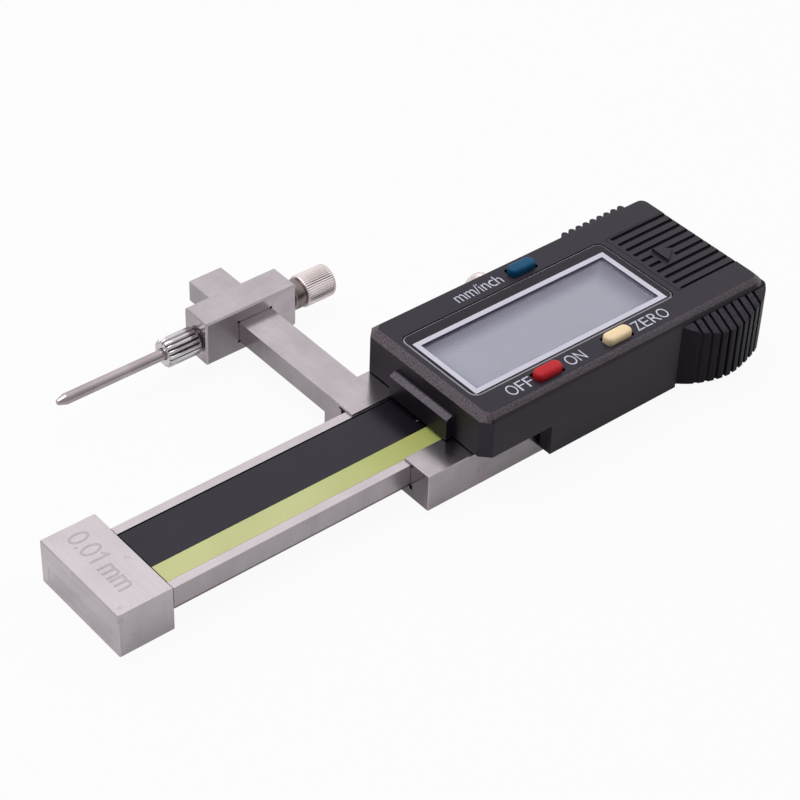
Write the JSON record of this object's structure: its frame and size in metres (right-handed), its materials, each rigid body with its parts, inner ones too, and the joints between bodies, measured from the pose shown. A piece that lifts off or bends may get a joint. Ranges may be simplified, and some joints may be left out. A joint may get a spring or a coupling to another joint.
{
  "type": "digital step gauge",
  "caption": "Digital step gauge: steel beam with a measuring foot, and a slider with a display housing and a side arm that carries a clamped probe pin.",
  "frame": {"origin": "on the foot's measuring face, at the middle of the beam's width and thickness", "axes": "+X along the beam from the measuring face towards the housing, so a probe tip's x is the reading; +Y towards the probe arm; +Z out of the display"},
  "size_m": [0.1238, 0.0688, 0.018],
  "materials": {
    "brushed_steel": "brushed",
    "carbide": "ground",
    "blackened_steel": "blackened",
    "nickel": "satin nickel plate",
    "brass": "satin",
    "black_plastic": "satin with fine grain on the chamfers",
    "gloss_black": "glossy",
    "yellow_green": "glossy",
    "clear_plastic": "clear and polished",
    "display_grey": "smooth blank display",
    "board_green": "solder mask",
    "pink_rubber": "matt",
    "button_red": "satin",
    "button_yellow": "satin",
    "button_blue": "satin"
  },
  "bodies": {
    "beam_body": {"beam": "brushed_steel", "foot_block": "brushed_steel", "foot_wear_strip": "carbide", "foot_screw_1": "blackened_steel", "foot_screw_2": "blackened_steel", "scale_board": "board_green", "scale_label": "gloss_black", "scale_stripe": "yellow_green", "beam_stop": "brushed_steel", "stop_screw_1": "blackened_steel", "stop_screw_2": "blackened_steel"},
    "slider_body": {"slider_frame": "brushed_steel", "gib_strip": "brass", "gib_screw_1": "blackened_steel", "gib_screw_2": "blackened_steel", "housing": "black_plastic", "housing_screw_1": "blackened_steel", "housing_screw_2": "blackened_steel", "housing_screw_3": "blackened_steel", "housing_screw_4": "blackened_steel", "display_lens": "clear_plastic", "display_panel": "display_grey", "contact_rubber_1": "pink_rubber", "contact_rubber_2": "pink_rubber", "circuit_board": "board_green", "switch_off_on": "blackened_steel", "switch_zero": "blackened_steel", "switch_mm_inch": "blackened_steel", "controller_chip": "gloss_black", "battery": "nickel", "battery_contact_negative": "brass", "battery_contact_positive": "brass"},
    "door_body": {"battery_door": "black_plastic"},
    "off_on_body": {"button_off_on": "button_red"},
    "zero_body": {"button_zero": "button_yellow"},
    "mm_inch_body": {"button_mm_inch": "button_blue"},
    "lock_screw_body": {"lock_screw": "nickel"},
    "probe_body": {"clamp_block": "brushed_steel", "clamp_pad": "brass", "probe_holder": "nickel", "probe_pin": "brushed_steel"},
    "clamp_screw_body": {"clamp_screw": "nickel"}
  },
  "joints": [
    {"name": "slider_slide", "type": "slide", "parent": "beam_body", "child": "slider_body", "axis": [1, 0, 0], "range_m": [-0.0442, 0.0011]},
    {"name": "door_slide", "type": "slide", "parent": "slider_body", "child": "door_body", "axis": [1, 0, 0], "range_m": [0, 0.0155]},
    {"name": "off_on_press", "type": "slide", "parent": "slider_body", "child": "off_on_body", "axis": [0, 0, -1], "range_m": [0, 0.0005], "stiffness_N_per_m": 600, "springref_m": -0.0005},
    {"name": "zero_press", "type": "slide", "parent": "slider_body", "child": "zero_body", "axis": [0, 0, -1], "range_m": [0, 0.0005], "stiffness_N_per_m": 600, "springref_m": -0.0005},
    {"name": "mm_inch_press", "type": "slide", "parent": "slider_body", "child": "mm_inch_body", "axis": [0, 0, -1], "range_m": [0, 0.0005], "stiffness_N_per_m": 600, "springref_m": -0.0005},
    {"name": "lock_screw_turn", "type": "hinge", "parent": "slider_body", "child": "lock_screw_body", "pos_m": [0.09353, 0.017, 0], "axis": [0, 1, 0], "range_deg": [-180, 360]},
    {"name": "probe_slide", "type": "slide", "parent": "slider_body", "child": "probe_body", "axis": [0, 1, 0], "range_m": [-0.0205, 0.008]},
    {"name": "clamp_screw_turn", "type": "hinge", "parent": "probe_body", "child": "clamp_screw_body", "pos_m": [0.0687, 0.03921, 0.00027], "axis": [1, 0, 0], "range_deg": [0, 540]}
  ]
}
